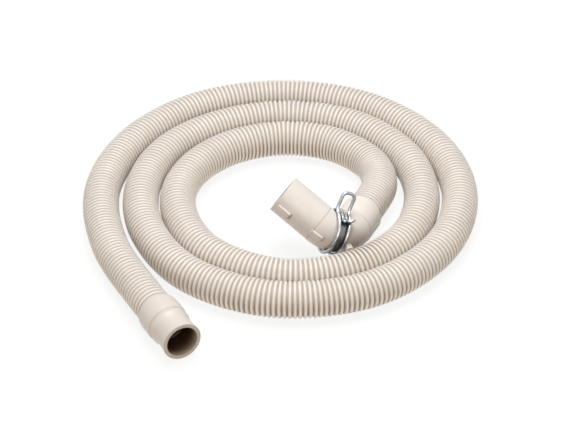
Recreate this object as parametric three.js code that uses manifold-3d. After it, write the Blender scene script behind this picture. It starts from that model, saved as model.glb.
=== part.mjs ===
// A dishwasher drain hose: a corrugated hose lying in a loose spiral of two and a half turns,
// with a straight cuff on its outer end and a right-angled cuff with a spring clamp on its inner end.
// Millimetres and degrees, +Z up, and the hose lies on z = 0.

import * as THREE from "three";
import { mergeVertices } from "three/addons/utils/BufferGeometryUtils.js";
import Module from "manifold-3d";

const wasm = await Module();
wasm.setup();

const { degToRad } = THREE.MathUtils;

// Clearances
const TOUCH_GAP = 0.3;          // left between pieces that touch on the real product
const MOULD_GAP = 0.1;          // between the hose's rib crests and a cuff moulded round them

// Hose
const HOSE_OD = 25;             // over the rib crests
const RIB_DEPTH = 1.5;
const HOSE_WALL = 0.8;
const HOSE_BORE = HOSE_OD - 2 * (RIB_DEPTH + HOSE_WALL);
const PLAIN_OD = HOSE_OD - 2 * TOUCH_GAP;   // plain tube, just inside the crests
const HOSE_SIDES = 12;
const HOSE_STEPS = 80;
const HOSE_IN_CUFF = 15;        // how far the hose runs into each cuff
const STRAIGHT_OUT = 16;        // hose that stays nearly straight beyond the straight cuff
const ELBOW_OUT = 10;           // the same before the elbow

// Lay of the hose: the distance of its centreline from the coil's middle, every 30 degrees,
// going round clockwise from the straight cuff on the left
const COIL_MIDDLE = new THREE.Vector2(6.9, 2);
const FIRST_BEARING = 180;
const BEARING_STEP = -30;
const OUTER_TURN = [131, 124, 122, 123, 124, 124.5, 124, 125, 126.5, 127, 123, 113.5];
const MIDDLE_TURN = [102, 96.5, 95, 94, 96, 98.5, 98.5, 98.5, 101, 101.5, 97, 87];
const INNER_TURN = [76, 70.5, 67, 66.5, 68.5, 71.5, 73];
const TURN_IN = new THREE.Vector2(72.2, -22.9);   // last point before the elbow

// Both cuffs
const SLEEVE_OD = 28.6;         // round the hose
const MOUTH_BORE = 21.6;        // takes a spigot of 19 to 22
const STOP_LEDGE = 3;           // length of the narrower ring that a spigot stops against
const LIP_ROUND = 0.6;
const CUFF_SIDES = 40;

// Straight cuff
const STRAIGHT_LIP = new THREE.Vector2(-128.8, -81.4);   // middle of its hose end, facing -Y
const STRAIGHT_LENGTH = 38;
const STRAIGHT_LIP_OD = 26.3;
const STRAIGHT_CREASE_AT = 17.7;
const CREASE_DEPTH = 0.25;
const SHOULDER_LENGTH = 7.5;    // from the crease down to the neck
const NECK_OD = 25.2;
const RIM_OD = 26.6;

// Elbow cuff, along its own axis: hose leg, bend, free leg
const ELBOW_LIP = new THREE.Vector2(43.6, -49);   // middle of its hose end
const ELBOW_HEADING = -142.5;   // direction in which the hose runs into it
const ELBOW_ROLL = 32.5;          // lift of the free leg, turned about the hose leg
const HOSE_LEG = 17.8;
const BEND_RADIUS = 18.8;
const BEND_ANGLE = 90;
const FREE_LEG = 32.4;
const BEND_OD = 27.7;
const FREE_LEG_OD = 27.5;
const BEND_STEPS = 18;

// Raised keys, and the block that keeps the clamp from turning
const KEY_HEIGHT = 1;
const MOUTH_KEY = { start: 19.2, length: 10.6, from: 80, to: 100 };
const SEAM_KEY = { start: -4.4, length: 6.2, from: 73, to: 90 };
const BLOCK = { bend: 42.5, polar: 77, width: 4.6, thickness: 3.8, height: 3.6 };

// Spring clamp: one wire, over a thin steel band that sits in a seat on the bend
const SEAT_BEND = 56.5;         // where the seat lies, in degrees round the bend
const SEAT_OD = 26.2;
const BAND_WIDTH = 7;
const BAND_THICKNESS = 0.3;
const BAND_GAP = 24;            // degrees left open at the inside of the bend
const WIRE = 2.4;
const WIRE_SIDES = 8;
const RING_SPACING = 5.5;       // between the two rings, on the seat's axis
const RING_SPREAD = 0.95;       // how much further out each ring lies on the bend's outside
const HAIRPIN_POLAR = -30;
const HAIRPIN_HEIGHT = 13.6;    // above the rings
const HAIRPIN_WIDTH = 9;
const HAIRPIN_SPLAY = 1.5;      // how far the rings part where they turn up into the hairpin

const SLEEVE_RADIUS = SLEEVE_OD / 2;
const SOCKET_RADIUS = HOSE_OD / 2 + MOULD_GAP;
const SOCKET_DEPTH = HOSE_IN_CUFF + TOUCH_GAP;
const ELBOW_END = HOSE_LEG + degToRad(BEND_ANGLE) * BEND_RADIUS;   // where the bend ends
const BAND_INNER = SEAT_OD / 2 + TOUCH_GAP;
const BAND_OUTER = BAND_INNER + BAND_THICKNESS;
const RING_RADIUS = BAND_OUTER + TOUCH_GAP + WIRE / 2;
const TAIL_AT = (WIRE + TOUCH_GAP) / 2;   // each tail's distance from the seat's middle

// Materials
function finish(color, roughness, metalness) {
  return new THREE.MeshStandardMaterial({ color, roughness, metalness });
}

function namedMesh(name, geometry, material) {
  const mesh = new THREE.Mesh(geometry, material);
  mesh.name = name;
  return mesh;
}

// From three.js geometry to a manifold solid and back
function solidOf(geometry) {
  const bare = new THREE.BufferGeometry();
  bare.setAttribute("position", geometry.getAttribute("position"));
  bare.setIndex(geometry.getIndex());
  const welded = mergeVertices(bare, 1e-4);
  return new wasm.Manifold(new wasm.Mesh({
    numProp: 3,
    vertProperties: new Float32Array(welded.getAttribute("position").array),
    triVerts: new Uint32Array(welded.getIndex().array),
  }));
}

function geometryOf(solid) {
  const mesh = solid.getMesh();
  const geometry = new THREE.BufferGeometry();
  geometry.setAttribute("position", new THREE.BufferAttribute(mesh.vertProperties, 3));
  geometry.setIndex(new THREE.BufferAttribute(mesh.triVerts, 1));
  geometry.computeVertexNormals();
  return geometry;
}

// A circle with true corners, so that flats face the same way wherever it is used
function roundShape(radius, sides, boreRadius = 0) {
  const ring = (r) => Array.from({ length: sides }, (_, i) => {
    const angle = (2 * Math.PI * i) / sides;
    return new THREE.Vector2(r * Math.cos(angle), r * Math.sin(angle));
  });
  const shape = new THREE.Shape(ring(radius));
  if (boreRadius > 0) shape.holes.push(new THREE.Path(ring(boreRadius).reverse()));
  return shape;
}

// Part of a flat ring. Polar angles run from +Z towards the outside of the bend.
function sectorShape(inner, outer, from, to, steps) {
  const point = (radius, polar) => new THREE.Vector2(
    -radius * Math.cos(degToRad(polar)),
    radius * Math.sin(degToRad(polar)),
  );
  const angles = Array.from({ length: steps + 1 }, (_, i) => from + ((to - from) * i) / steps);
  const out = angles.map((polar) => point(outer, polar));
  const back = angles.reverse().map((polar) => point(inner, polar));
  return new THREE.Shape([...out, ...back]);
}

function sweep(shape, path, steps) {
  return new THREE.ExtrudeGeometry(shape, { steps, extrudePath: path, bevelEnabled: false });
}

// Hose
function hoseRoute() {
  const lie = PLAIN_OD / 2 + 0.1;
  const inCuff = SLEEVE_RADIUS;
  const at = (flat, z) => new THREE.Vector3(flat.x, flat.y, z);
  const radii = [...OUTER_TURN, ...MIDDLE_TURN, ...INNER_TURN];
  const turns = radii.map((radius, i) => {
    const bearing = degToRad(FIRST_BEARING + BEARING_STEP * i);
    const reach = new THREE.Vector2(Math.cos(bearing), Math.sin(bearing)).multiplyScalar(radius);
    return at(reach.add(COIL_MIDDLE), lie);
  });
  const heading = degToRad(ELBOW_HEADING);
  const along = (distance) => new THREE.Vector2(Math.cos(heading), Math.sin(heading))
    .multiplyScalar(distance).add(ELBOW_LIP);
  return new THREE.CatmullRomCurve3([
    at(STRAIGHT_LIP.clone().add(new THREE.Vector2(0, -HOSE_IN_CUFF)), inCuff),
    at(STRAIGHT_LIP, inCuff),
    at(STRAIGHT_LIP.clone().add(new THREE.Vector2(0, STRAIGHT_OUT)), inCuff - 0.4),
    ...turns,
    at(TURN_IN, lie + 0.6),
    at(along(-ELBOW_OUT), inCuff - 0.2),
    at(ELBOW_LIP, inCuff),
    at(along(HOSE_IN_CUFF), inCuff),
  ]);
}

function corrugatedHose() {
  const section = roundShape(PLAIN_OD / 2, HOSE_SIDES, HOSE_BORE / 2);
  return namedMesh(
    "corrugated_hose",
    sweep(section, hoseRoute(), HOSE_STEPS),
    finish(0xe2dacb, 0.45, 0),
  );
}

// Straight cuff: turned about Y, from its hose lip at 0 to its mouth
function straightCuffOutline() {
  const lip = STRAIGHT_LIP_OD / 2;
  const crease = STRAIGHT_CREASE_AT;
  const creased = SLEEVE_RADIUS - 0.15;
  const neck = NECK_OD / 2;
  const neckAt = crease + SHOULDER_LENGTH;
  const rim = RIM_OD / 2;
  const mouth = STRAIGHT_LENGTH;
  const bore = MOUTH_BORE / 2;
  const waterway = HOSE_BORE / 2;
  const outline = new THREE.Path();
  outline.moveTo(SOCKET_RADIUS, 0);
  outline.lineTo(lip, 0);
  outline.quadraticCurveTo(SLEEVE_RADIUS - 0.3, 1.6, SLEEVE_RADIUS - 0.1, 5);
  outline.quadraticCurveTo(SLEEVE_RADIUS + 0.1, (5 + crease) / 2, creased, crease - 0.6);
  outline.lineTo(creased - CREASE_DEPTH, crease);
  outline.lineTo(creased, crease + 0.6);
  outline.bezierCurveTo(creased - 0.1, crease + 4.4, neck + 0.3, neckAt - 2.4, neck, neckAt);
  outline.bezierCurveTo(neck - 0.15, neckAt + 3, rim - 0.2, mouth - 4, rim, mouth - LIP_ROUND);
  outline.quadraticCurveTo(rim, mouth, rim - LIP_ROUND, mouth);
  outline.lineTo(bore + LIP_ROUND, mouth);
  outline.quadraticCurveTo(bore, mouth, bore, mouth - LIP_ROUND);
  outline.lineTo(bore, SOCKET_DEPTH + STOP_LEDGE);
  outline.lineTo(waterway, SOCKET_DEPTH + STOP_LEDGE);
  outline.lineTo(waterway, SOCKET_DEPTH);
  outline.lineTo(SOCKET_RADIUS, SOCKET_DEPTH);
  outline.lineTo(SOCKET_RADIUS, 0);
  return outline.getPoints(6);
}

function straightCuff() {
  const solid = solidOf(new THREE.LatheGeometry(straightCuffOutline(), CUFF_SIDES));
  const cuff = namedMesh("straight_cuff", geometryOf(solid), finish(0xd8d0c3, 0.5, 0));
  cuff.position.set(STRAIGHT_LIP.x, STRAIGHT_LIP.y, SLEEVE_RADIUS);
  cuff.rotation.z = Math.PI;
  return cuff;
}

// A stretch of the elbow's axis, between two distances from its hose lip.
// The hose leg runs along +Y, the bend turns towards +X, and the free leg runs along +X.
class ElbowAxis extends THREE.Curve {
  constructor(from, to) {
    super();
    this.from = from;
    this.to = to;
  }

  getPoint(t, target = new THREE.Vector3()) {
    const distance = this.from + (this.to - this.from) * t;
    const turned = THREE.MathUtils.clamp((distance - HOSE_LEG) / BEND_RADIUS, 0, degToRad(BEND_ANGLE));
    const past = Math.max(distance - ELBOW_END, 0);
    return target.set(
      BEND_RADIUS * (1 - Math.cos(turned)) + past * Math.sin(turned),
      Math.min(distance, HOSE_LEG) + BEND_RADIUS * Math.sin(turned) + past * Math.cos(turned),
      0,
    );
  }
}

function axisAtBend(degrees) {
  return HOSE_LEG + BEND_RADIUS * degToRad(degrees);
}

// Three directions at a place on the bend: along the axis, away from the bend's middle, and +Z
function bendFrame(degrees) {
  const angle = degToRad(degrees);
  const stretch = new ElbowAxis(0, axisAtBend(degrees));
  return {
    middle: stretch.getPoint(1),
    along: new THREE.Vector3(Math.sin(angle), Math.cos(angle), 0),
    outside: new THREE.Vector3(-Math.cos(angle), Math.sin(angle), 0),
    up: new THREE.Vector3(0, 0, 1),
  };
}

function onBend(frame, polar, radius, along) {
  return frame.middle.clone()
    .addScaledVector(frame.up, radius * Math.cos(degToRad(polar)))
    .addScaledVector(frame.outside, radius * Math.sin(degToRad(polar)))
    .addScaledVector(frame.along, along);
}

function elbowPipe(diameter, from, to, steps) {
  return solidOf(sweep(roundShape(diameter / 2, CUFF_SIDES), new ElbowAxis(from, to), steps));
}

function elbowSleeve() {
  const shoulder = HOSE_LEG + 0.5;
  const outline = new THREE.Path();
  outline.moveTo(0, 0);
  outline.lineTo(SLEEVE_RADIUS - LIP_ROUND, 0);
  outline.quadraticCurveTo(SLEEVE_RADIUS, 0, SLEEVE_RADIUS, 2 * LIP_ROUND);
  outline.lineTo(SLEEVE_RADIUS, shoulder - 1.4);
  outline.lineTo(BEND_OD / 2 - 0.1, shoulder);
  outline.lineTo(0, shoulder);
  return solidOf(new THREE.LatheGeometry(outline.getPoints(4), CUFF_SIDES));
}

// The free leg is turned about Y and then laid along +X from the end of the bend
function elbowFreeLeg() {
  const radius = FREE_LEG_OD / 2;
  const outline = new THREE.Path();
  outline.moveTo(0, -1);
  outline.lineTo(radius, -1);
  outline.lineTo(radius, FREE_LEG - LIP_ROUND);
  outline.quadraticCurveTo(radius, FREE_LEG, radius - LIP_ROUND, FREE_LEG);
  outline.lineTo(0, FREE_LEG);
  const leg = new THREE.LatheGeometry(outline.getPoints(4), CUFF_SIDES);
  leg.rotateZ(-degToRad(BEND_ANGLE));
  const end = new ElbowAxis(0, ELBOW_END).getPoint(1);
  leg.translate(end.x, end.y, end.z);
  return solidOf(leg);
}

// A raised key that follows the elbow's surface. Its start is measured from the end of the bend.
function elbowKey(key, surfaceDiameter) {
  const start = ELBOW_END + key.start;
  const inside = surfaceDiameter / 2 - KEY_HEIGHT;
  const outside = surfaceDiameter / 2 + KEY_HEIGHT;
  const section = sectorShape(inside, outside, key.from, key.to, 4);
  return solidOf(sweep(section, new ElbowAxis(start, start + key.length), 6));
}

function elbowBlock() {
  const frame = bendFrame(BLOCK.bend);
  const surface = BEND_OD / 2;
  const depth = 2;
  const block = new THREE.BoxGeometry(BLOCK.thickness, BLOCK.height + depth, BLOCK.width);
  const foot = onBend(frame, BLOCK.polar, surface - depth, 0);
  const outwards = onBend(frame, BLOCK.polar, surface, 0).sub(foot).normalize();
  const across = new THREE.Vector3().crossVectors(outwards, frame.along);
  block.translate(0, (BLOCK.height + depth) / 2, 0);
  block.applyMatrix4(new THREE.Matrix4().makeBasis(across, outwards, frame.along));
  block.translate(foot.x, foot.y, foot.z);
  return solidOf(block);
}

// What is cut away for the band and both rings: a straight seat, which also trims the tight
// inside of the bend
function clampSeat() {
  const frame = bendFrame(SEAT_BEND);
  const rings = RING_SPACING / 2 + RING_SPREAD + WIRE / 2;
  const half = Math.max(rings, BAND_WIDTH / 2) + TOUCH_GAP;
  const path = new THREE.LineCurve3(onBend(frame, 0, 0, -half), onBend(frame, 0, 0, half));
  const reach = BEND_RADIUS - 1;
  return solidOf(sweep(roundShape(reach, CUFF_SIDES, SEAT_OD / 2), path, 1));
}

function elbowBore() {
  const mouth = ELBOW_END + FREE_LEG;
  const socket = elbowPipe(2 * SOCKET_RADIUS, -1, SOCKET_DEPTH, 1);
  const waterway = elbowPipe(HOSE_BORE, SOCKET_DEPTH - 1, ELBOW_END + STOP_LEDGE + 1, BEND_STEPS);
  const seat = elbowPipe(MOUTH_BORE, ELBOW_END + STOP_LEDGE, mouth + 1, 1);
  return socket.add(waterway).add(seat);
}

function elbowCuff() {
  const bend = elbowPipe(BEND_OD, HOSE_LEG, ELBOW_END, BEND_STEPS);
  const body = elbowSleeve().add(bend).add(elbowFreeLeg())
    .subtract(clampSeat())
    .add(elbowKey(MOUTH_KEY, FREE_LEG_OD))
    .add(elbowKey(SEAM_KEY, BEND_OD))
    .add(elbowBlock());
  return namedMesh("elbow_cuff", geometryOf(body.subtract(elbowBore())), finish(0xe4dccd, 0.5, 0));
}

// Clamp band: a thin open ring that fits the seat, open at the inside of the bend
function clampBand() {
  const frame = bendFrame(SEAT_BEND);
  const half = BAND_WIDTH / 2;
  const path = new THREE.LineCurve3(onBend(frame, 0, 0, -half), onBend(frame, 0, 0, half));
  const from = -90 + BAND_GAP / 2;
  const section = sectorShape(BAND_INNER, BAND_OUTER, from, from + 360 - BAND_GAP, 56);
  return namedMesh("clamp_band", sweep(section, path, 1), finish(0x5e6266, 0.4, 0.9));
}

// Spring clamp. Each half of the wire runs from the hairpin's tip down one leg, round its ring
// and on to a tail between the legs. The half nearer the mouth has side +1.
function ringAlong(polar, side) {
  const splay = HAIRPIN_SPLAY * THREE.MathUtils.smoothstep(-polar, -50, 5);
  const spread = RING_SPREAD * Math.sin(degToRad(polar));
  return side * (RING_SPACING / 2 + spread + splay);
}

function halfWire(side, hook) {
  const frame = bendFrame(SEAT_BEND);
  const tip = RING_RADIUS + HAIRPIN_HEIGHT;
  const leg = (HAIRPIN_WIDTH / 2) * side;
  const points = [
    [HAIRPIN_POLAR, tip, leg * 0.6],
    [HAIRPIN_POLAR, tip - 1.4, leg * 0.92],
    [HAIRPIN_POLAR, tip - 6, leg],
    [HAIRPIN_POLAR + 1, RING_RADIUS + 2.6, leg],
    [HAIRPIN_POLAR + 9, RING_RADIUS + 0.3, leg * 0.97],
  ];
  for (let polar = -8; polar <= 285; polar += 16) {
    points.push([polar, RING_RADIUS, ringAlong(polar, side)]);
  }
  for (const polar of [308, 324, 340, 354]) {
    points.push([polar, RING_RADIUS, side * TAIL_AT]);
  }
  points.push(...hook);
  return points.map(([polar, radius, along]) => onBend(frame, polar, radius, along));
}

function springClamp() {
  const up = RING_RADIUS;
  const tail = TAIL_AT;
  const lipHook = [[364, up + 0.3, tail], [371, up + 1.6, tail - 0.2], [373, up + 3, tail - 0.5]];
  const sideHook = [
    [363, up + 0.3, -tail],
    [368.5, up + 1.6, -tail - 0.4],
    [369.5, up + 3, -tail - 1.8],
    [365, up + 3.9, -tail - 4.5],
  ];
  const mouthSide = halfWire(1, lipHook);
  const hoseSide = halfWire(-1, sideHook);
  const path = new THREE.CatmullRomCurve3([...mouthSide.reverse(), ...hoseSide]);
  return namedMesh(
    "spring_clamp",
    sweep(roundShape(WIRE / 2, WIRE_SIDES), path, 230),
    finish(0xc4c8cc, 0.28, 1),
  );
}

// The elbow and what is on it share one frame: its hose lip at the origin, hose leg along +Y
function elbowAssembly() {
  const rolled = new THREE.Group();
  rolled.rotation.y = -degToRad(ELBOW_ROLL);
  rolled.add(elbowCuff(), clampBand(), springClamp());
  const turned = new THREE.Group();
  turned.position.set(ELBOW_LIP.x, ELBOW_LIP.y, SLEEVE_RADIUS);
  turned.rotation.z = degToRad(ELBOW_HEADING - 90);
  turned.add(rolled);
  return turned;
}

const group = new THREE.Group();
group.name = "dishwasher_drain_hose";
group.add(corrugatedHose(), straightCuff(), elbowAssembly());

export default group;
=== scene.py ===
"""The looks of a dishwasher drain hose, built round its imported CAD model.

A corrugated hose lies in an open spiral. A straight cuff is on its outer end, and an elbow cuff with a
spring clamp is on its inner end. Sizes are in millimetres and are turned into metres when a mesh is made.
"""

import logging
from dataclasses import dataclass
from enum import Enum

import bpy
import numpy as np
from mathutils import Matrix, Vector


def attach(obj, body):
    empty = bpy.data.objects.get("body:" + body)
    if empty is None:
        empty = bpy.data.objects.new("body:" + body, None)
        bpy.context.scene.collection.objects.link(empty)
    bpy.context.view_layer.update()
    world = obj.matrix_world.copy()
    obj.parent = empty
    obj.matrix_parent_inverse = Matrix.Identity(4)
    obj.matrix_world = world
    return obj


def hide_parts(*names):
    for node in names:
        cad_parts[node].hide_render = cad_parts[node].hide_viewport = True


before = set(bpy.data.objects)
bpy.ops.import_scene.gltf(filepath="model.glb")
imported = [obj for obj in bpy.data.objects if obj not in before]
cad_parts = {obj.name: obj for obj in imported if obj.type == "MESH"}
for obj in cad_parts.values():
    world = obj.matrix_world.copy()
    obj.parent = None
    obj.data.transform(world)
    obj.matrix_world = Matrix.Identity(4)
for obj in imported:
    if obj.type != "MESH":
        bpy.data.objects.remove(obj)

logging.basicConfig(level=logging.INFO, format="%(name)s: %(message)s")
log = logging.getLogger("drain_hose")

Array = np.ndarray
Triple = tuple[float, float, float]
Object = bpy.types.Object
Material = bpy.types.Material
Socket = bpy.types.NodeSocket
UP = np.array([0.0, 0.0, 1.0])
MM = 0.001
BODY = "root"


class Slot(Enum):
    """Material slots of the record."""

    HOSE = "hose"
    CUFF = "cuff"
    WIRE = "wire"
    BAND = "band"


# Sizes


@dataclass(frozen=True)
class HoseSize:
    """Sizes of the corrugated hose, in mm.

    The bore clears ribs of rib_depth, and the grooves are drawn seen_depth deep.
    """

    outer: float = 25.0
    rib_depth: float = 1.5
    seen_depth: float = 1.3
    wall: float = 0.8
    sides: int = 24
    in_cuff: float = 15.0

    @property
    def bore(self) -> float:
        """Diameter inside the wall at the bottom of the grooves."""
        return self.outer - 2 * (self.rib_depth + self.wall)


@dataclass(frozen=True)
class CuffSize:
    """Sizes that both cuffs share, in mm."""

    sleeve: float = 28.6
    socket: float = 25.2
    socket_depth: float = 15.3
    ledge: float = 3.0
    mouth_bore: float = 21.6
    waterway: float = 20.4


@dataclass(frozen=True)
class StraightCuffSize:
    """Sizes of the straight cuff, in mm. It points along -Y from its hose lip."""

    lip: tuple[float, float] = (-128.8, -81.4)
    length: float = 38.0
    lip_outer: float = 26.3
    crease_at: float = 17.7
    crease_depth: float = 0.85
    neck: float = 25.2
    rim: float = 26.6


@dataclass(frozen=True)
class ElbowSize:
    """Sizes of the elbow cuff in mm and degrees, along its own axis from the hose lip."""

    lip: tuple[float, float] = (43.6, -49.0)
    heading: float = -142.5
    roll: float = 32.5
    hose_leg: float = 17.8
    bend_radius: float = 18.8
    bend_angle: float = 90.0
    free_leg: float = 32.4
    bend_outer: float = 27.7
    free_leg_outer: float = 27.5
    seam_past_bend: float = 0.9
    seat_at: float = 56.5
    seat_outer: float = 26.2
    seat_half_width: float = 5.2

    @property
    def bend_end(self) -> float:
        """Distance from the lip to the end of the bend: leg + radius * angle."""
        return self.hose_leg + self.bend_radius * np.radians(self.bend_angle)

    @property
    def end(self) -> float:
        """Distance from the lip to the mouth."""
        return self.bend_end + self.free_leg


@dataclass(frozen=True)
class KeySize:
    """A raised key: distance from the bend's end and polar angles that it covers, in mm and degrees.

    The end shade is how dark the painted shade at the foot of its end is, on the side of the bend.
    """

    start: float
    length: float
    low: float
    high: float
    height: float = 1.35
    end_shade: float = 0.3


@dataclass(frozen=True)
class BlockSize:
    """The block on the bend: its place in degrees, and its width, thickness and height in mm."""

    bend: float = 42.5
    polar: float = 75.5
    width: float = 5.0
    thickness: float = 4.2
    height: float = 4.3


@dataclass(frozen=True)
class ClampSize:
    """Sizes of the spring clamp and of its band, in mm and degrees."""

    band_width: float = 7.0
    band_thickness: float = 0.3
    band_gap: float = 24.0
    wire: float = 2.4
    gap: float = 0.3
    ring_spacing: float = 5.5
    ring_spread: float = 0.95
    hairpin_polar: float = -30.0
    hairpin_height: float = 13.6
    hairpin_width: float = 9.0
    hairpin_splay: float = 1.5


HOSE = HoseSize()
CUFF = CuffSize()
STRAIGHT = StraightCuffSize()
ELBOW = ElbowSize()
CLAMP = ClampSize()
KEYS = (KeySize(19.2, 10.6, 80.0, 100.0), KeySize(-4.4, 6.2, 73.0, 90.0, end_shade=0.16))
BLOCK = BlockSize()

# The lay of the hose, the same points as in the CAD model: the distance of its centreline from the
# coil's middle every 30 degrees, clockwise from the straight cuff.
COIL_MIDDLE = (6.9, 2.0)
FIRST_BEARING = 180.0
BEARING_STEP = -30.0
TURNS = (
    (131, 124, 122, 123, 124, 124.5, 124, 125, 126.5, 127, 123, 113.5),
    (102, 96.5, 95, 94, 96, 98.5, 98.5, 98.5, 101, 101.5, 97, 87),
    (76, 70.5, 67, 66.5, 68.5, 71.5, 73),
)
TURN_IN = (72.2, -22.9)

# The ribs stand a little wider or closer where the hose is pulled or pressed. One value every 120 mm.
PITCH_STEP = 120.0
PITCHES = (3.47, 3.29, 3.37, 3.31, 3.42, 3.31, 3.16, 3.31, 3.4, 3.28, 3.48, 3.15, 3.31, 3.36, 3.14, 2.6)
FIRST_RIB = -1.37


# Curves and frames


def rotation_z(degrees: float) -> Array:
    """Turn about Z as a 3 by 3 matrix."""
    c, s = np.cos(np.radians(degrees)), np.sin(np.radians(degrees))
    return np.array([[c, -s, 0.0], [s, c, 0.0], [0.0, 0.0, 1.0]])


def rotation_y(degrees: float) -> Array:
    """Turn about Y as a 3 by 3 matrix."""
    c, s = np.cos(np.radians(degrees)), np.sin(np.radians(degrees))
    return np.array([[c, 0.0, s], [0.0, 1.0, 0.0], [-s, 0.0, c]])


def smoothstep(low: float, high: float, x: Array) -> Array:
    """0 up to low, 1 from high, and 3t^2 - 2t^3 between them."""
    t = np.clip((np.asarray(x, float) - low) / (high - low), 0.0, 1.0)
    return t * t * (3.0 - 2.0 * t)


def unit(v: Array) -> Array:
    """Vectors scaled to length 1 along their last axis."""
    return v / np.linalg.norm(v, axis=-1, keepdims=True)


def catmull_rom(points: Array, per_segment: int) -> Array:
    """Centripetal Catmull-Rom curve through (n, 3) knots, with this many steps between two of them.

    Knot spacing is the square root of the distance, as in the CAD model's curve.
    """
    before = np.vstack([2 * points[0] - points[1], points[:-2]])
    start, stop = points[:-1], points[1:]
    after = np.vstack([points[2:], 2 * points[-1] - points[-2]])
    spans = ((before, start), (start, stop), (stop, after))
    d0, d1, d2 = (np.sqrt(np.linalg.norm(b - a, axis=1))[:, None] for a, b in spans)
    leave = ((start - before) / d0 - (stop - before) / (d0 + d1) + (stop - start) / d1) * d1
    arrive = ((stop - start) / d1 - (after - start) / (d1 + d2) + (after - stop) / d2) * d1
    w = np.linspace(0.0, 1.0, per_segment, endpoint=False)[None, :, None]
    a, b, m, n = start[:, None], stop[:, None], leave[:, None], arrive[:, None]
    curve = a + m * w + (3 * (b - a) - 2 * m - n) * w**2 + (2 * (a - b) + m + n) * w**3
    return np.vstack([curve.reshape(-1, 3), points[-1:]])


class Line:
    """A curve in space, asked by the distance along it, in mm."""

    def __init__(self, points: Array) -> None:
        self.points = points
        steps = np.linalg.norm(np.diff(points, axis=0), axis=1)
        self.distance = np.concatenate([[0.0], np.cumsum(steps)])

    @property
    def length(self) -> float:
        """Length of the curve in mm."""
        return float(self.distance[-1])

    def at(self, distance: Array) -> Array:
        """Points at these distances, each coordinate interpolated between the curve's points."""
        return np.stack([np.interp(distance, self.distance, self.points[:, k]) for k in range(3)], axis=1)

    def tangent(self, distance: Array, reach: float = 0.5) -> Array:
        """Direction at these distances: the chord from reach before to reach after."""
        ahead = np.minimum(distance + reach, self.length)
        behind = np.maximum(distance - reach, 0.0)
        return unit(self.at(ahead) - self.at(behind))


class ElbowFrame:
    """The elbow's own frame: hose lip at the origin, hose leg along +Y, bend towards +X."""

    def __init__(self, size: ElbowSize, lip_height: float) -> None:
        self.size = size
        self.origin = np.array([*size.lip, lip_height])
        self.turn = rotation_z(size.heading - 90.0) @ rotation_y(-size.roll)

    def world(self, points: Array) -> Array:
        """Row-frame points of points given in the elbow's frame: origin + turn * p."""
        return self.origin + points @ self.turn.T

    def axis(self, distance: Array) -> tuple[Array, Array, Array]:
        """Axis points, tangents and outside directions at these distances from the lip."""
        size = self.size
        full = np.radians(size.bend_angle)
        turned = np.clip((distance - size.hose_leg) / size.bend_radius, 0.0, full)
        past = np.maximum(distance - size.bend_end, 0.0)
        sin, cos, none = np.sin(turned), np.cos(turned), np.zeros_like(turned)
        x = size.bend_radius * (1 - cos) + past * sin
        y = np.minimum(distance, size.hose_leg) + size.bend_radius * sin + past * cos
        return np.stack([x, y, none], 1), np.stack([sin, cos, none], 1), np.stack([-cos, sin, none], 1)

    def seat(self) -> tuple[Array, Array, Array]:
        """Middle, axis and outside direction of the clamp's seat."""
        distance = self.size.hose_leg + self.size.bend_radius * np.radians(self.size.seat_at)
        middle, along, outside = self.axis(np.array([distance]))
        return middle[0], along[0], outside[0]

    def on_seat(self, polar: Array, radius: Array, along: Array) -> Array:
        """Row-frame points round the seat. Polar angles run from the elbow's +Z towards its outside."""
        middle, axis, outside = self.seat()
        angle = np.radians(polar)
        local = (
            middle
            + (radius * np.cos(angle))[:, None] * UP
            + (radius * np.sin(angle))[:, None] * outside
            + np.asarray(along)[:, None] * axis
        )
        return self.world(local)


# Meshes


def grid_faces(rows: int, columns: int, close_rows: bool, close_columns: bool = True) -> Array:
    """Quads of a grid of rows by columns points, joined round in either direction if asked."""
    r = np.arange(rows if close_rows else rows - 1)
    c = np.arange(columns if close_columns else columns - 1)
    r, c = np.meshgrid(r, c, indexing="ij")
    r2, c2 = (r + 1) % rows, (c + 1) % columns
    corners = [r * columns + c, r * columns + c2, r2 * columns + c2, r2 * columns + c]
    return np.stack(corners, -1).reshape(-1, 4)


def shown_object(name: str, data: bpy.types.ID) -> Object:
    """A new object of the scene with this data."""
    obj = bpy.data.objects.new(name, data)
    bpy.context.scene.collection.objects.link(obj)
    return obj


@dataclass(frozen=True)
class Piece:
    """A mesh object of the dressed model, with its place in the row frame."""

    name: str
    slot: Slot
    material: Material

    def build(
        self, points: Array, quads: Array, caps: tuple[Array, ...] = (), sharp: float = 180.0, **values: Array
    ) -> Object:
        """Makes the object from (n, 3) points in mm and the corners of its faces.

        Edges bent by more than sharp degrees are shaded crisp. The values are one number for each point,
        and are kept as mesh attributes.
        """
        mesh = bpy.data.meshes.new(self.name)
        faces = [*quads.tolist(), *(cap.tolist() for cap in caps)]
        mesh.from_pydata((points * MM).tolist(), [], faces)
        mesh.polygons.foreach_set("use_smooth", np.ones(len(faces), bool))
        if sharp < 180.0:
            mesh.set_sharp_from_angle(angle=np.radians(sharp))
        for name, value in values.items():
            layer = mesh.attributes.new(name, "FLOAT", "POINT")
            layer.data.foreach_set("value", np.asarray(value, np.float32))
        mesh.materials.append(self.material)
        mesh.validate()
        mesh.update()
        obj = shown_object(self.name, mesh)
        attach(obj, BODY)
        log.info("%s has %d points and %d faces", self.name, len(points), len(faces))
        return obj


def end_caps(count: int, sides: int) -> tuple[Array, Array]:
    """Corners of the two faces that close a tube of count rings."""
    return np.arange(sides)[::-1], (count - 1) * sides + np.arange(sides)


def even_turn(sides: int) -> Array:
    """Angles of a full turn in radians, evenly spread."""
    return np.linspace(0.0, 2 * np.pi, sides, endpoint=False)


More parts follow.
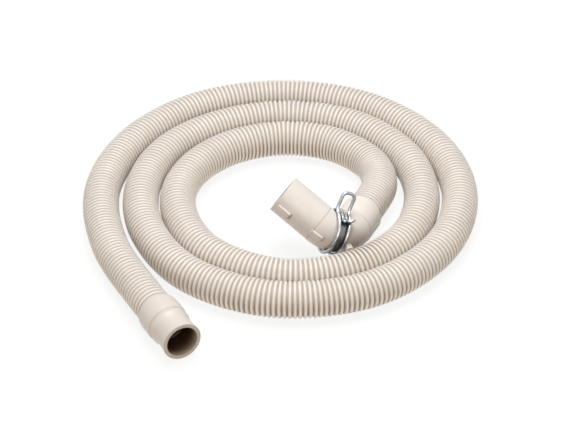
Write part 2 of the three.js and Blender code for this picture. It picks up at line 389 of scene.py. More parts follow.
def rings(centres: Array, normals: Array, binormals: Array, radii: Array, a: Array) -> Array:
    """Rings of points round a line: centre + r * (normal * cos a + binormal * sin a).

    The centres, normals and binormals are (n, 3), the radii (n,) or (n, sides), and the angles in a ring are
    (sides,) radians. The points are (n, sides, 3).
    """
    radii = radii if np.ndim(radii) == 2 else np.asarray(radii)[:, None]
    radii = np.broadcast_to(radii, (len(centres), len(a)))
    spokes = normals[:, None] * np.cos(a)[None, :, None] + binormals[:, None] * np.sin(a)[None, :, None]
    return centres[:, None] + radii[..., None] * spokes


# Finishes


@dataclass(frozen=True)
class Plastic:
    """Moulded plastic with a soft, slightly uneven surface, with depths in metres.

    The shade is the part of the colour kept in a deep hollow, as painted shade, and the gloss is how far the
    roughness strays.
    """

    colour: Triple
    shade: Triple
    roughness: float
    gloss: tuple[float, float] = (-0.03, 0.05)
    mottle: float = 0.05
    mottle_scale: float = 35.0
    grain: float = 0.04
    grain_scale: float = 900.0
    grain_depth: float = 0.0004
    translucence: float = 0.12


@dataclass(frozen=True)
class Metal:
    """Drawn or rolled metal with fine marks and dull patches, with depths in metres.

    The gloss is how far the roughness strays. The dark colour is that of the dull patches and of painted
    shade.
    """

    colour: Triple
    dark: Triple
    roughness: float
    mark_scale: Triple
    marks: float
    gloss: tuple[float, float] = (-0.08, 0.12)
    mark_depth: float = 0.0002
    patch_scale: float = 180.0


# The second colour of each plastic is painted shade: what is kept in grooves, bores and under other pieces
HOSE_PLASTIC = Plastic((0.87, 0.825, 0.785), (0.31, 0.25, 0.19), 0.36)
CUFF_PLASTIC = Plastic((0.76, 0.705, 0.65), (0.055, 0.03, 0.016), 0.42)
ELBOW_PLASTIC = Plastic((0.87, 0.815, 0.76), (0.055, 0.03, 0.016), 0.40)
# The dark colour of each metal serves its dull patches and painted shade below and under the crossing
WIRE_METAL = Metal((0.50, 0.51, 0.53), (0.15, 0.155, 0.165), 0.24, (400.0, 400.0, 400.0), 0.05)
BAND_METAL = Metal((0.24, 0.236, 0.23), (0.02, 0.02, 0.022), 0.36, (300.0, 300.0, 1500.0), 0.20)


class Shader:
    """A material's node tree, with short calls to add and join nodes."""

    def __init__(self, name: str) -> None:
        self.material = bpy.data.materials.new(name)
        self.material.use_nodes = True
        self.tree = self.material.node_tree
        self.surface = self.tree.nodes["Principled BSDF"]

    def node(self, kind: str, inputs: dict | None = None, **settings: object) -> bpy.types.Node:
        """Adds a node, sets its properties, then its inputs: a value or another node's output."""
        made = self.tree.nodes.new(kind)
        for key, value in settings.items():
            setattr(made, key, value)
        self.feed(made, inputs or {})
        return made

    def feed(self, node: bpy.types.Node, inputs: dict) -> None:
        """Sets or links inputs, named by socket name or number."""
        for key, value in inputs.items():
            if isinstance(value, Socket):
                self.tree.links.new(value, node.inputs[key])
            else:
                node.inputs[key].default_value = value

    def mix(
        self, factor: Socket | float, first: Socket | tuple, second: Socket | tuple, blend: str = "MIX"
    ) -> Socket:
        """Colour output of first and second mixed by factor."""
        node = self.node("ShaderNodeMix", data_type="RGBA", blend_type=blend)
        self.feed(node, {0: factor, 6: first, 7: second})
        return node.outputs[2]

    def noise(self, scale: float, detail: float, stretch: Triple | None = None) -> Socket:
        """Noise of object coordinates, from 0 to 1."""
        coords = self.node("ShaderNodeTexCoord").outputs["Object"]
        if stretch is not None:
            coords = self.node("ShaderNodeMapping", {"Vector": coords, "Scale": stretch}).outputs[0]
        inputs = {"Vector": coords, "Scale": scale, "Detail": detail}
        return self.node("ShaderNodeTexNoise", inputs).outputs[0]

    def ramp(self, value: Socket, low: float, high: float, start: float = 0.0, stop: float = 1.0) -> Socket:
        """Value stretched so that low becomes start and high becomes stop, held at both ends."""
        return self.node("ShaderNodeMapRange", {0: value, 1: low, 2: high, 3: start, 4: stop}).outputs[0]

    def gloss(self, value: Socket, roughness: float, spread: tuple[float, float]) -> Socket:
        """Roughness that follows a value from 0 to 1, between both ends of the spread."""
        return self.ramp(value, 0.0, 1.0, roughness + spread[0], roughness + spread[1])

    def bump(self, height: Socket, strength: float, distance: float) -> Socket:
        """Normal bent by height, with distance in metres."""
        inputs = {"Height": height, "Strength": strength, "Distance": distance}
        return self.node("ShaderNodeBump", inputs).outputs[0]


def rgba(colour: Triple) -> tuple[float, float, float, float]:
    """Colour with full alpha."""
    return (*colour, 1.0)


def plastic(name: str, finish: Plastic, shade_attribute: str | None = None) -> Material:
    """Plastic with painted shade in its hollows: its colour times the shade to the power of the attribute."""
    shader = Shader(name)
    patches = shader.ramp(shader.noise(finish.mottle_scale, 4.0), 0.35, 0.65)
    worn = tuple(channel * (1.0 - finish.mottle) for channel in finish.colour)
    colour = shader.mix(patches, rgba(finish.colour), rgba(worn))
    if shade_attribute is not None:
        hollow = shader.node("ShaderNodeAttribute", attribute_name=shade_attribute).outputs["Fac"]
        kept = shader.node("ShaderNodeGamma", {"Color": rgba(finish.shade), "Gamma": hollow}).outputs[0]
        colour = shader.mix(1.0, colour, kept, "MULTIPLY")
    grain = shader.noise(finish.grain_scale, 2.0)
    shader.feed(shader.surface, {
        "Base Color": colour,
        "Roughness": shader.gloss(patches, finish.roughness, finish.gloss),
        "Normal": shader.bump(grain, finish.grain, finish.grain_depth),
        "Subsurface Weight": finish.translucence,
        "Subsurface Radius": (1.0, 0.8, 0.6),
        "Subsurface Scale": 0.0015,
        "IOR": 1.49,
    })
    return shader.material


def metal(name: str, finish: Metal, under_attribute: str) -> Material:
    """Metal with drawing marks in its gloss and relief, dark in dull patches and with painted shade where the
    attribute is near 1.
    """
    shader = Shader(name)
    marks = shader.noise(1.0, 4.0, finish.mark_scale)
    patches = shader.ramp(shader.noise(finish.patch_scale, 3.0), 0.5, 1.1)
    under = shader.node("ShaderNodeAttribute", attribute_name=under_attribute).outputs["Fac"]
    both = shader.node("ShaderNodeMath", {0: patches, 1: under}, operation="ADD", use_clamp=True)
    shader.feed(shader.surface, {
        "Base Color": shader.mix(both.outputs[0], rgba(finish.colour), rgba(finish.dark)),
        "Metallic": 1.0,
        "Roughness": shader.gloss(marks, finish.roughness, finish.gloss),
        "Normal": shader.bump(marks, finish.marks, finish.mark_depth),
    })
    return shader.material


# Shade


def bell(x: Array, middle: float, reach: float) -> Array:
    """1 in the middle, 0.37 at its reach and 0 far away."""
    return np.exp(-(((x - middle) / reach) ** 2))


def covered(points: Array, middle: Triple, reach: float) -> Array:
    """How near points are to a place that another piece covers: 1 in its middle, 0.37 at its reach."""
    return bell(np.linalg.norm(points - middle, axis=-1), 0.0, reach)


def in_bore(radius: Array) -> Array:
    """1 for points of a cuff's bore and 0 outside it, by their distance from the axis."""
    bore = CUFF.mouth_bore / 2
    return smoothstep(bore + 0.6, bore - 0.1, radius)


def underside(facing: Array) -> Array:
    """How much painted shade darkens metal, from 0 to 1, where its surface faces down: facing is its normal's
    height.
    """
    return 0.9 * smoothstep(0.35, -0.45, facing)


# The hose


class Hose:
    """The corrugated hose on its route, from inside the straight cuff to inside the elbow."""

    # Where the rings of one rib stand in its pitch, and how deep each is as a part of the rib's depth
    RIB = ((0.0, 1.0), (0.12, 0.86), (0.23, 0.24), (0.37, 0.0), (0.63, 0.0), (0.77, 0.24), (0.88, 0.86))
    # How far apart the rings of the bore stand, and how far the ribs lie off the floor
    BORE_STEP = 12.0
    OFF_FLOOR = 0.1
    # Painted shade: how dark the grooves are where the hose faces up and where it faces down
    GROOVE_SHADE = (0.5, 0.82)
    # Where the elbow lies over the coil, how far the painted shade under it reaches, and how dark ribs and
    # grooves are there
    COVERED = (15.0, -86.5, 18.5)
    COVER_REACH = 14.0
    COVER_SHADE = (0.15, 1.2)

    def __init__(self, size: HoseSize) -> None:
        self.size = size
        self.line = Line(catmull_rom(self.knots(), 160))

    def knots(self) -> Array:
        """Points that the centreline passes through, in mm."""
        lie, lifted = self.size.outer / 2 + self.OFF_FLOOR, CUFF.sleeve / 2
        radii = np.concatenate(TURNS)
        bearing = np.radians(FIRST_BEARING + BEARING_STEP * np.arange(len(radii)))
        turns = np.stack([
            COIL_MIDDLE[0] + radii * np.cos(bearing),
            COIL_MIDDLE[1] + radii * np.sin(bearing),
            np.full(len(radii), lie),
        ], axis=1)
        # The sleeves are wider than the hose and hold its ends up, so it comes down from them in a slow curve
        x, y = STRAIGHT.lip
        start = [(x, y - self.size.in_cuff, lifted), (x, y, lifted), (x, y + 16.0, lifted - 0.4)]
        heading = np.radians(ELBOW.heading)
        way = np.array([np.cos(heading), np.sin(heading)])
        lip = np.array(ELBOW.lip)
        end = [
            (*TURN_IN, lie + 0.6),
            (*(lip - 10.0 * way), lifted - 0.2),
            (*lip, lifted),
            (*(lip + self.size.in_cuff * way), lifted),
        ]
        return np.vstack([start, turns, end])

    def rib_stations(self) -> tuple[Array, Array]:
        """Distance along the hose and depth of every ring of every rib.

        The count of ribs up to a distance is the sum of distance / pitch, with the pitch between the
        stated values in a straight line. It is turned round to give the distance of each rib.
        """
        along = np.linspace(0.0, self.line.length, 4000)
        pitch = np.interp(along, PITCH_STEP * np.arange(len(PITCHES)), PITCHES)
        per_mm = 1.0 / pitch
        steps = 0.5 * (per_mm[1:] + per_mm[:-1]) * np.diff(along)
        count = FIRST_RIB - 0.5 + np.concatenate([[0.0], np.cumsum(steps)])
        place, depth = np.array(self.RIB).T
        whole = np.arange(np.ceil(count[0]), np.floor(count[-1]))
        wanted = (whole[:, None] + place[None]).ravel()
        stations = np.interp(wanted, count, along)
        return (
            np.concatenate([[0.0], stations, [self.line.length]]),
            np.concatenate([[0.0], np.tile(depth, len(whole)), [0.0]]),
        )

    def frames(self, distance: Array) -> tuple[Array, Array, Array]:
        """Middles, sideways directions and upward directions at these distances."""
        tangent = self.line.tangent(distance)
        sideways = unit(np.cross(tangent, UP))
        return self.line.at(distance), sideways, np.cross(sideways, tangent)

    def build(self, material: Material) -> Object:
        """Makes the ribbed outer surface and the smooth bore as one closed wall."""
        size = self.size
        outer, depth = self.rib_stations()
        radii = size.outer / 2 - size.seen_depth * depth
        turn = even_turn(size.sides)
        skin = rings(*self.frames(outer), radii, turn)
        inner = np.arange(self.line.length, 0.0, -self.BORE_STEP)
        inner = np.append(inner, 0.0)
        bore = rings(*self.frames(inner), np.full(len(inner), size.bore / 2), turn)
        points = np.concatenate([skin, bore]).reshape(-1, 3)
        # Painted shade in the grooves and the bore, darker on the underside, and on ribs and grooves under
        # the elbow
        top, under = self.GROOVE_SHADE
        shade = top + (under - top) * smoothstep(0.5, -0.17, np.sin(turn))
        depths = np.concatenate([depth, np.ones(len(inner))])[:, None]
        rib, groove = self.COVER_SHADE
        close = covered(points, self.COVERED, self.COVER_REACH).reshape(-1, size.sides)
        hollow = (depths * shade + close * (rib + (groove - rib) * depths)).ravel()
        quads = grid_faces(len(outer) + len(inner), size.sides, close_rows=True)[:, ::-1]
        obj = Piece("hose_ribbed", Slot.HOSE, material).build(points, quads, hollow=hollow)
        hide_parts("corrugated_hose")
        return obj

    def declare(self) -> None:
        """Works out 600 points along the hose's centreline, in metres; nothing is done with them."""
        path = self.line.at(np.linspace(0.0, self.line.length, 600)) * MM


# The cuffs


def rounded(points: list[tuple[float, float]], steps: dict[int, float]) -> Array:
    """A closed outline, (along, radius), with some of its corners rounded by a quadratic curve.

    The steps say, for a corner's number, how far from it the rounding starts.
    """
    corners = np.array(points, float)
    out = []
    for i, corner in enumerate(corners):
        if i not in steps:
            out.append(corner[None])
            continue
        before, after = corners[i - 1], corners[(i + 1) % len(corners)]
        start = corner + unit(before - corner) * steps[i]
        stop = corner + unit(after - corner) * steps[i]
        t = np.linspace(0.0, 1.0, 6)[:, None]
        out.append((1 - t) ** 2 * start + 2 * t * (1 - t) * corner + t**2 * stop)
    return np.vstack(out)


def refine(outline: Array, step: float) -> Array:
    """A closed outline with points at most step apart."""
    following = np.roll(outline, -1, axis=0)
    parts = []
    for start, stop in zip(outline, following):
        n = max(1, int(np.ceil(np.linalg.norm(stop - start) / step)))
        parts.append(start + (stop - start) * (np.arange(n) / n)[:, None])
    return np.vstack(parts)


def with_stations(outline: Array, stations: list[float], least: float) -> Array:
    """Adds a point wherever a side of the outline, above a least radius, passes one of the stations."""
    parts = []
    for start, stop in zip(outline, np.roll(outline, -1, axis=0)):
        parts.append(start)
        if min(start[1], stop[1]) < least:
            continue
        passed = [s for s in sorted(stations) if start[0] < s < stop[0]]
        parts += [start + (stop - start) * (s - start[0]) / (stop[0] - start[0]) for s in passed]
    return np.array(parts)


class StraightCuff:
    """The straight cuff: a turned wall with a socket at each end."""

    SIDES = 96
    # Painted shade: how dark the crease, the rim's face and the first of the bore are, as parts of a deep
    # hollow
    CREASE_SHADE = 0.055
    FACE_SHADE = 0.1
    BORE_SHADE = 0.12
    # How far inside the mouth the bore's painted shade is at its darkest
    DARK_AT = 13.0

    def __init__(self, size: StraightCuffSize) -> None:
        self.size = size

    def outline(self) -> Array:
        """Closed outline, (distance from the hose lip, radius) in mm."""
        size, wall = self.size, CUFF
        sleeve, neck, rim = wall.sleeve / 2, size.neck / 2, size.rim / 2
        crease, lip = size.crease_at, size.lip_outer / 2
        bottom = sleeve - size.crease_depth
        # Lip, sleeve, crease, shoulder, neck and flare: the outside is a smooth curve through these points
        outside = np.array([
            (0.0, lip - 0.5), (0.5, lip + 0.1), (1.6, sleeve - 0.55), (3.5, sleeve - 0.22),
            (6.5, sleeve - 0.03), (10.0, sleeve - 0.01), (14.0, sleeve - 0.03),
            *((crease + past, radius) for past, radius in (
                (-2.0, sleeve - 0.12), (-1.1, sleeve - 0.32), (-0.2, bottom + 0.05), (0.5, bottom),
                (1.5, sleeve - 0.58), (2.8, sleeve - 0.5), (4.5, sleeve - 0.86), (5.8, sleeve - 1.3),
                (7.2, neck + 0.1), (9.0, neck - 0.08), (11.5, neck - 0.02), (14.5, neck + 0.2),
                (17.5, rim - 0.25),
            )),
            (size.length - 1.6, rim - 0.05), (size.length - 0.5, rim),
        ])
        smooth = catmull_rom(np.column_stack([outside, np.zeros(len(outside))]), 5)[:, :2]
        bore, way = wall.mouth_bore / 2, wall.waterway / 2
        inside = rounded([
            (size.length, rim), (size.length, bore), (wall.socket_depth + wall.ledge, bore),
            (wall.socket_depth + wall.ledge, way), (wall.socket_depth, way),
            (wall.socket_depth, wall.socket / 2), (0.0, wall.socket / 2), (0.0, lip - 0.5),
        ], {0: 0.5, 1: 0.4, 6: 0.3})
        return refine(np.vstack([smooth, inside[:-1]]), 1.5)

    def painted_shade(self, outline: Array) -> Array:
        """Painted shade of each point, as a part of a deep hollow: 0 in the open and 1 deep in the bore."""
        size = self.size
        along, radius = outline.T
        deep = smoothstep(size.length - 0.5, size.length - self.DARK_AT, along)
        bore = in_bore(radius) * (self.BORE_SHADE + (1.0 - self.BORE_SHADE) * deep)
        face = self.FACE_SHADE * smoothstep(size.length - 0.7, size.length - 0.1, along)
        crease = self.CREASE_SHADE * bell(along, size.crease_at - 0.1, 1.0) * (radius > size.neck / 2)
        return np.maximum.reduce([bore, face, crease])

    def build(self, material: Material) -> Object:
        """Turns the outline about the cuff's axis."""
        outline = self.outline()
        count = len(outline)
        x, y = self.size.lip
        centres = np.stack([np.full(count, x), y - outline[:, 0], np.full(count, CUFF.sleeve / 2)], 1)
        normals = np.tile([1.0, 0.0, 0.0], (count, 1))
        binormals = np.tile(UP, (count, 1))
        points = rings(centres, normals, binormals, outline[:, 1], even_turn(self.SIDES)).reshape(-1, 3)
        obj = Piece("straight_cuff_moulded", Slot.CUFF, material).build(
            points,
            grid_faces(count, self.SIDES, close_rows=True),
            hollow=np.repeat(self.painted_shade(outline), self.SIDES),
        )
        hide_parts("straight_cuff")
        return obj


class Elbow:
    """The elbow cuff, swept along its bent axis as one wall with two raised keys, and its block."""

    SIDES = 144
    # Over how many mm a key rises at its ends, and over how many degrees at its sides
    KEY_EDGE = 0.25
    KEY_SIDE = 1.1
    # How much thinner than its size the sleeve is drawn, so that it stays off the floor
    OFF_FLOOR = 0.01
    # Points farther than this from the seat's axis belong to the legs beyond the bend
    SEAT_REACH = 22.0
    # Painted shade: how dark the seam, the sleeve's step, the mouth's edge and the underside are, as parts of
    # a deep hollow
    SEAM_SHADE = 0.12
    STEP_SHADE = 0.05
    MOUTH_SHADE = 0.02
    UNDER_SHADE = 0.2
    # Where the coil lies close to the bend, how far the painted shade there reaches, and how dark it is
    COVERED = (21.0, -84.0, 14.0)
    COVER_REACH = 11.0
    COVER_SHADE = 0.17

    def __init__(self, place: ElbowFrame) -> None:
        self.place = place
        self.size = place.size
        side = self.KEY_SIDE
        edges = [p for key in KEYS for p in (key.low, key.low + side, key.high - side, key.high)]
        even = np.degrees(even_turn(self.SIDES))
        clear = np.abs(even[:, None] - np.array(edges)[None]).min(axis=1) > 0.5
        self.polar = np.unique(np.concatenate([even[clear], edges]))

    def on_skin(self, outline: Array, below: float) -> Array:
        """Which points lie outside the free leg's radius less this many mm."""
        return outline[:, 1] > self.size.free_leg_outer / 2 - below

    def outline(self) -> Array:
        """Closed outline, (distance along the axis, radius) in mm."""
        size, wall = self.size, CUFF
        sleeve, bend, leg = wall.sleeve / 2 - self.OFF_FLOOR, size.bend_outer / 2, size.free_leg_outer / 2
        bore, way = wall.mouth_bore / 2, wall.waterway / 2
        seam = size.bend_end + size.seam_past_bend
        corners = [
            (0.0, sleeve), (size.hose_leg - 0.6, sleeve), (size.hose_leg + 0.2, bend),
            (seam - 0.1, bend), (seam + 0.1, leg - 0.15), (seam + 0.4, leg - 0.15), (seam + 0.6, leg),
            (size.end, leg), (size.end, bore),
            (size.bend_end + wall.ledge, bore), (size.bend_end + wall.ledge, way), (wall.socket_depth, way),
            (wall.socket_depth, wall.socket / 2), (0.0, wall.socket / 2),
        ]
        shaped = rounded(corners, {0: 0.9, 1: 0.25, 2: 0.25, 7: 0.9, 8: 0.4, 13: 0.3})
        stations = [size.bend_end + key.start + step for key in KEYS for step in (
            0.0, self.KEY_EDGE, key.length - self.KEY_EDGE, key.length
        )]
        return refine(with_stations(shaped, stations, leg - 0.2), 0.6)

    def radii(self, outline: Array) -> Array:
        """Radius of every point, with the keys raised on the outside surface."""
        out = np.repeat(outline[:, 1:], len(self.polar), axis=1)
        outside = self.on_skin(outline, 0.2)[:, None]
        edge, side = self.KEY_EDGE, self.KEY_SIDE
        for key in KEYS:
            start = self.size.bend_end + key.start
            stop = start + key.length
            a, p = outline[:, :1], self.polar[None]
            along = smoothstep(start, start + edge, a) * smoothstep(stop, stop - edge, a)
            across = smoothstep(key.low, key.low + side, p) * smoothstep(key.high, key.high - side, p)
            top = np.maximum(out, self.size.free_leg_outer / 2) + key.height
            out = np.where(outside, out + (top - out) * along * across, out)
        return out

    def painted_shade(self, outline: Array) -> Array:
        """Painted shade of each point: a little on the seam, the step and the mouth's edge, and 1 in the
        bore.
        """
        along, radius = outline.T
        seam = self.size.bend_end + self.size.seam_past_bend + 0.25
        line = self.SEAM_SHADE * bell(along, seam, 0.35)
        step = self.STEP_SHADE * bell(along, self.size.hose_leg, 0.5)
        mouth = self.MOUTH_SHADE * smoothstep(self.size.end - 1.6, self.size.end, along)
        outside = np.maximum.reduce([line, step, mouth]) * self.on_skin(outline, 0.9)
        return np.maximum(in_bore(radius), outside)

    def underside(self, outline: Array, facing: Array) -> Array:
        """Painted shade on the sleeve and the bend below, near the coil: facing is the normal's height."""
        near = smoothstep(self.size.bend_end + 2.0, self.size.bend_end - 16.0, outline[:, 0])
        close = self.on_skin(outline, 0.9) * near
        return self.UNDER_SHADE * close[:, None] * smoothstep(0.2, -0.6, facing)

    def key_ends(self, outline: Array) -> Array:
        """The painted shade at the foot of each key's end, on the side of the bend."""
        skin = self.on_skin(outline, 0.2)
        shade = np.zeros((len(outline), len(self.polar)))
        for key in KEYS:
            low = smoothstep(key.low - 1.5, key.low + 0.5, self.polar)
            high = smoothstep(key.high + 1.5, key.high - 0.5, self.polar)
            near = bell(outline[:, 0], self.size.bend_end + key.start - 0.1, 0.6)
            shade = np.maximum(shade, key.end_shade * (near * skin)[:, None] * low * high)
        return shade

    def seated(self, points: Array, outside: Array) -> Array:
        """Presses the outer surface down to the clamp's seat: its distance from the seat's axis is capped."""
        middle, axis, _ = self.place.seat()
        offset = points - middle
        along = offset @ axis
        spoke = offset - along[..., None] * axis
        distance = np.linalg.norm(spoke, axis=-1)
        seat = self.size.seat_outer / 2
        half = self.size.seat_half_width
        inside = smoothstep(half + 0.25, half - 0.15, np.abs(along))
        pressed = np.where(outside & (distance < self.SEAT_REACH), np.minimum(distance, seat), distance)
        wanted = distance + (pressed - distance) * inside
        return middle + along[..., None] * axis + spoke * (wanted / distance)[..., None]

    def build(self, material: Material) -> list[Object]:
        """Sweeps the wall and adds the block."""
        outline = self.outline()
        middles, _, outwards = self.place.axis(outline[:, 0])
        upright = np.tile(UP, (len(outline), 1))
        local = rings(middles, upright, outwards, self.radii(outline), np.radians(self.polar))
        around = len(self.polar)
        local = self.seated(local, np.repeat(self.on_skin(outline, 1.0)[:, None], around, axis=1))
        points = self.place.world(local.reshape(-1, 3))
        facing = (unit(local - middles[:, None]) @ self.place.turn.T)[..., 2]
        hollow = np.maximum(self.painted_shade(outline)[:, None], self.underside(outline, facing))
        hollow = np.maximum(hollow, self.key_ends(outline))
        close = covered(points, self.COVERED, self.COVER_REACH).reshape(hollow.shape)
        wall = Piece("elbow_moulded", Slot.CUFF, material).build(
            points,
            grid_faces(len(outline), around, close_rows=True),
            sharp=38.0,
            hollow=(hollow + self.COVER_SHADE * close).ravel(),
        )
        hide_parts("elbow_cuff")
        return [wall, self.block(material)]

    def block(self, material: Material) -> Object:
        """A block with softened edges that stops the clamp from turning."""
        size = self.size
        distance = size.hose_leg + size.bend_radius * np.radians(BLOCK.bend)
        middle, along, outside = (v[0] for v in self.place.axis(np.array([distance])))
        angle = np.radians(BLOCK.polar)
        out = np.cos(angle) * UP + np.sin(angle) * outside
        across = np.cross(out, along)
        half, top = np.array([BLOCK.thickness, BLOCK.width]) / 2, BLOCK.height
        # Height above the surface, and how far the outline is drawn in at that height
        layers = np.array([(-2.0, 0.0), (top - 0.5, 0.05), (top - 0.25, 0.12), (top - 0.07, 0.3), (top, 0.6)])
        corner = np.array([(1.0, 0.55), (0.87, 0.87), (0.55, 1.0)])
        signs = ((1, 1), (-1, 1), (-1, -1), (1, -1))
        plan = np.vstack([corner[::1 if sx * sy > 0 else -1] * (sx, sy) for sx, sy in signs])
        local = np.concatenate([
            middle + out * (size.bend_outer / 2 + height)
            + plan[:, :1] * (half[0] - inset) * across + plan[:, 1:] * (half[1] - inset) * along
            for height, inset in layers
        ])
        points = self.place.world(local)
        count, sides = len(layers), len(plan)
        faces, caps = grid_faces(count, sides, close_rows=False), end_caps(count, sides)
        return Piece("elbow_block", Slot.CUFF, material).build(
            points, faces, caps, sharp=50.0, hollow=np.zeros(len(points))
        )


# The clamp


class SpringClamp:
    """The bent wire and the thin band below it, on the elbow's seat."""

    WIRE_SIDES = 16
    # Where the crossing tails keep the light off the strip, in degrees, how far on, and how dark the painted
    # shadow is there
    CROSSING = 4.0
    CROSSING_REACH = 14.0
    CROSSING_SHADE = 0.8

    def __init__(self, size: ClampSize, place: ElbowFrame) -> None:
        self.size = size
        self.place = place
        self.band_inner = place.size.seat_outer / 2 + size.gap
        self.band_outer = self.band_inner + size.band_thickness
        self.ring_radius = self.band_outer + size.gap + size.wire / 2
        self.tail = (size.wire + size.gap) / 2

    def ring_along(self, polar: float, side: int) -> float:
        """Place of a ring along the seat's axis: half the spacing, spread outside and splayed at the legs."""
        size = self.size
        splay = size.hairpin_splay * float(smoothstep(-50.0, 5.0, -polar))
        spread = size.ring_spread * np.sin(np.radians(polar))
        return side * (size.ring_spacing / 2 + spread + splay)

    def half(self, side: int, hook: list[Triple]) -> list[Triple]:
        """Knots of half the wire, (polar, radius, along), from the hairpin's tip to the end of its tail."""
        size, ring = self.size, self.ring_radius
        tip = ring + size.hairpin_height
        leg = size.hairpin_width / 2 * side
        polar = size.hairpin_polar
        knots = [
            (polar, tip, leg * 0.6),
            (polar, tip - 1.4, leg * 0.92),
            (polar, tip - 6.0, leg),
            (polar + 1, ring + 2.6, leg),
            (polar + 9, ring + 0.3, leg * 0.97),
        ]
        knots += [(p, ring, self.ring_along(p, side)) for p in range(-8, 286, 16)]
        knots += [(p, ring, side * self.tail) for p in (308, 324, 340, 354)]
        return knots + hook

    def wire_line(self) -> Line:
        """Centreline of the whole wire, from one tail round both rings and the hairpin to the other."""
        up, tail = self.ring_radius, self.tail
        lip_hook = [(364, up + 0.3, tail), (371, up + 1.6, tail - 0.2), (373, up + 3.0, tail - 0.5)]
        side_hook = [
            (363, up + 0.3, -tail), (368.5, up + 1.6, -tail - 0.4),
            (369.5, up + 3.0, -tail - 1.8), (365, up + 3.9, -tail - 4.5),
        ]
        knots = np.array([*reversed(self.half(1, lip_hook)), *self.half(-1, side_hook)])
        return Line(catmull_rom(self.place.on_seat(knots[:, 0], knots[:, 1], knots[:, 2]), 40))

    def build_wire(self, material: Material) -> Object:
        """Sweeps a round section along the wire, with its two ends rounded off."""
        line, radius = self.wire_line(), self.size.wire / 2
        round_off = radius * (1 - np.cos(np.linspace(0.05, np.pi / 2, 7)))
        middle = np.linspace(radius, line.length - radius, 760)
        distance = np.concatenate([round_off[:-1], middle, line.length - round_off[:-1][::-1]])
        from_end = np.minimum(np.minimum(distance, line.length - distance), radius)
        radii = np.sqrt(np.maximum(radius**2 - (radius - from_end) ** 2, 1e-4))
        tangent = line.tangent(distance, 0.3)
        normal = self.carried(tangent)
        count, sides = len(distance), self.WIRE_SIDES
        middles = line.at(distance)
        points = rings(middles, normal, np.cross(tangent, normal), radii, even_turn(sides))
        facing = ((points - middles[:, None]) / radii[:, None, None])[..., 2]
        obj = Piece("clamp_wire", Slot.WIRE, material).build(
            points.reshape(-1, 3), grid_faces(count, sides, close_rows=False), end_caps(count, sides),
            under=underside(facing.ravel()),
        )
        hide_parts("spring_clamp")
        return obj

    @staticmethod
    def carried(tangent: Array) -> Array:
        """Normals carried along without twist: each is the last one, less its part along the tangent."""
        normal = np.empty_like(tangent)
        current = unit(np.cross(tangent[0], UP))
        for i, t in enumerate(tangent):
            current = unit(current - (current @ t) * t)
            normal[i] = current
        return normal

    def build_band(self, material: Material) -> Object:
        """An open strip round the seat, slightly crowned across and with rounded edges."""
        size = self.size
        start = -90.0 + size.band_gap / 2
        polar = np.linspace(start, start + 360.0 - size.band_gap, 200)
        half, thick = size.band_width / 2, size.band_thickness
        section = np.array([
            (-half, 0.05), (-half + 0.08, 0.0), (0.0, 0.0), (half - 0.08, 0.0), (half, 0.05),
            (half, thick - 0.1), (half - 0.12, thick - 0.02), (half * 0.5, thick),
            (-half * 0.5, thick), (-half + 0.12, thick - 0.02), (-half, thick - 0.1),
        ])
        count, around = len(polar), len(section)
        p = np.repeat(polar, around)
        along = np.tile(section[:, 0], count)
        radius = self.band_inner + np.tile(section[:, 1], count)
        points = self.place.on_seat(p, radius, along)
        facing = unit(points - self.place.on_seat(p, 0.0 * radius, along))[:, 2]
        crossing = self.CROSSING_SHADE * bell(p, self.CROSSING, self.CROSSING_REACH)
        caps = tuple(cap[::-1] for cap in end_caps(count, around))
        obj = Piece("clamp_strip", Slot.BAND, material).build(
            points, grid_faces(count, around, close_rows=False)[:, ::-1], caps,
            under=np.maximum(underside(facing), crossing),
        )
        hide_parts("clamp_band")
        return obj


# The studio


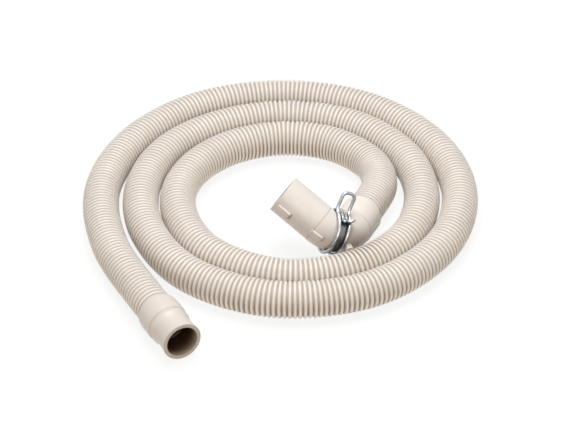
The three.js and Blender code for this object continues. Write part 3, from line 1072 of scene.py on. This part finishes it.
class Studio:
    """Camera, floor, lamps and world."""

    CAMERA_PLACE = (-0.69498, -1.32274, 1.05269)
    CAMERA_RIGHT = (0.88295, -0.46947, 0.0)
    CAMERA_UP = (0.27082, 0.50935, 0.81684)
    SENSOR = 36.0
    LENS = 166.18
    # What the sky gives to rough surfaces, as a part of the white that it shows
    SKY = 0.05
    # The floor: half its width, how far below the hose it lies, and its colour for the light it throws back
    FLOOR_HALF = 6.0
    FLOOR_DROP = 0.0004
    FLOOR_COLOUR = (0.93, 0.88, 0.81)
    # How much of its seen white takes light and shadow, and between which distances that fades out
    SHADED = 0.13
    FADE = (0.25, 1.2)
    WHITE = (1.0, 1.0, 1.0, 1.0)

    @staticmethod
    def shown(tree: bpy.types.NodeTree) -> Socket:
        """1 for rays from the camera, off gloss or through glass, and 0 for those that light the rest."""
        rays = tree.nodes.new("ShaderNodeLightPath").outputs
        seen = rays["Is Camera Ray"]
        for kind in ("Is Glossy Ray", "Is Transmission Ray"):
            larger = tree.nodes.new("ShaderNodeMath")
            larger.operation = "MAXIMUM"
            tree.links.new(seen, larger.inputs[0])
            tree.links.new(rays[kind], larger.inputs[1])
            seen = larger.outputs[0]
        return seen

    def camera(self) -> None:
        """Camera at the photograph's place, with its axes given by its right and up directions."""
        data = bpy.data.cameras.new("view")
        data.sensor_width, data.lens = self.SENSOR, self.LENS
        data.clip_start, data.clip_end = 0.1, 20.0
        camera = shown_object("view", data)
        right, up = Vector(self.CAMERA_RIGHT), Vector(self.CAMERA_UP)
        turn = Matrix((right, up, right.cross(up))).transposed().to_4x4()
        camera.matrix_world = Matrix.Translation(self.CAMERA_PLACE) @ turn
        bpy.context.scene.camera = camera

    def floor(self) -> None:
        """A wide white floor. Seen directly or in gloss it is white with a light shadow."""
        half = self.FLOOR_HALF
        corners = [(-half, -half, 0), (half, -half, 0), (half, half, 0), (-half, half, 0)]
        mesh = bpy.data.meshes.new("floor")
        mesh.from_pydata(corners, [], [(0, 1, 2, 3)])
        floor = shown_object("floor", mesh)
        floor.location.z = -self.FLOOR_DROP
        shader = Shader("floor_white")
        shader.feed(shader.surface, {"Base Color": rgba(self.FLOOR_COLOUR), "Roughness": 0.9})
        seen = self.shown(shader.tree)
        glow = shader.node("ShaderNodeEmission", {"Color": self.WHITE, "Strength": 1.0})
        paper = shader.node("ShaderNodeBsdfDiffuse", {"Color": self.WHITE})
        # The part that takes light and shadow fades out away from the hose, so that the floor ends white
        place = shader.node("ShaderNodeTexCoord").outputs["Object"]
        away = shader.node("ShaderNodeVectorMath", {0: place}, operation="LENGTH").outputs["Value"]
        shaded = shader.ramp(away, *self.FADE, self.SHADED, 0.0)
        white = shader.node("ShaderNodeMixShader", {0: shaded, 1: glow.outputs[0], 2: paper.outputs[0]})
        lit = shader.surface.outputs[0]
        both = shader.node("ShaderNodeMixShader", {0: seen, 1: lit, 2: white.outputs[0]})
        shader.feed(shader.tree.nodes["Material Output"], {"Surface": both.outputs[0]})
        mesh.materials.append(shader.material)

    def lamp(self, name: str, place: Triple, size: float, power: float, colour: Triple = (1, 1, 1)) -> None:
        """A square soft lamp at place, facing the hose, with its power in watts."""
        data = bpy.data.lights.new(name, "AREA")
        data.shape, data.size, data.energy, data.color = "SQUARE", size, power, colour
        lamp = shown_object(name, data)
        lamp.location = place
        lamp.rotation_mode = "QUATERNION"
        lamp.rotation_quaternion = (-Vector(place)).to_track_quat("-Z", "Y")

    def light(self) -> None:
        """A large soft lamp overhead, a weak warm one in front, and a faint sky, white where it is seen."""
        self.lamp("overhead", (0.05, 0.1, 1.5), 1.1, 24.5)
        self.lamp("front", (-0.6, -1.1, 0.9), 0.8, 5.6, (1.0, 0.91, 0.80))
        world = bpy.data.worlds.new("studio")
        world.use_nodes = True
        tree = world.node_tree
        sky = tree.nodes["Background"].inputs
        strength = tree.nodes.new("ShaderNodeMapRange")
        strength.inputs["To Min"].default_value = self.SKY
        tree.links.new(self.shown(tree), strength.inputs["Value"])
        tree.links.new(strength.outputs[0], sky["Strength"])
        sky["Color"].default_value = self.WHITE
        bpy.context.scene.world = world
        bpy.context.scene.view_settings.view_transform = "Standard"


def main() -> None:
    """Builds the studio and every piece of the hose."""
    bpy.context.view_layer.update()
    studio = Studio()
    studio.camera()
    hose = Hose(HOSE)
    ribbed = hose.build(plastic("hose_plastic", HOSE_PLASTIC, "hollow"))
    place = ElbowFrame(ELBOW, CUFF.sleeve / 2)
    StraightCuff(STRAIGHT).build(plastic("cuff_plastic", CUFF_PLASTIC, "hollow"))
    elbow = Elbow(place).build(plastic("elbow_plastic", ELBOW_PLASTIC, "hollow"))
    clamp = SpringClamp(CLAMP, place)
    wire = clamp.build_wire(metal("wire_metal", WIRE_METAL, "under"))
    band = clamp.build_band(metal("band_metal", BAND_METAL, "under"))
    hose.declare()
    studio.floor()
    studio.light()


if __name__ == "__main__":
    main()
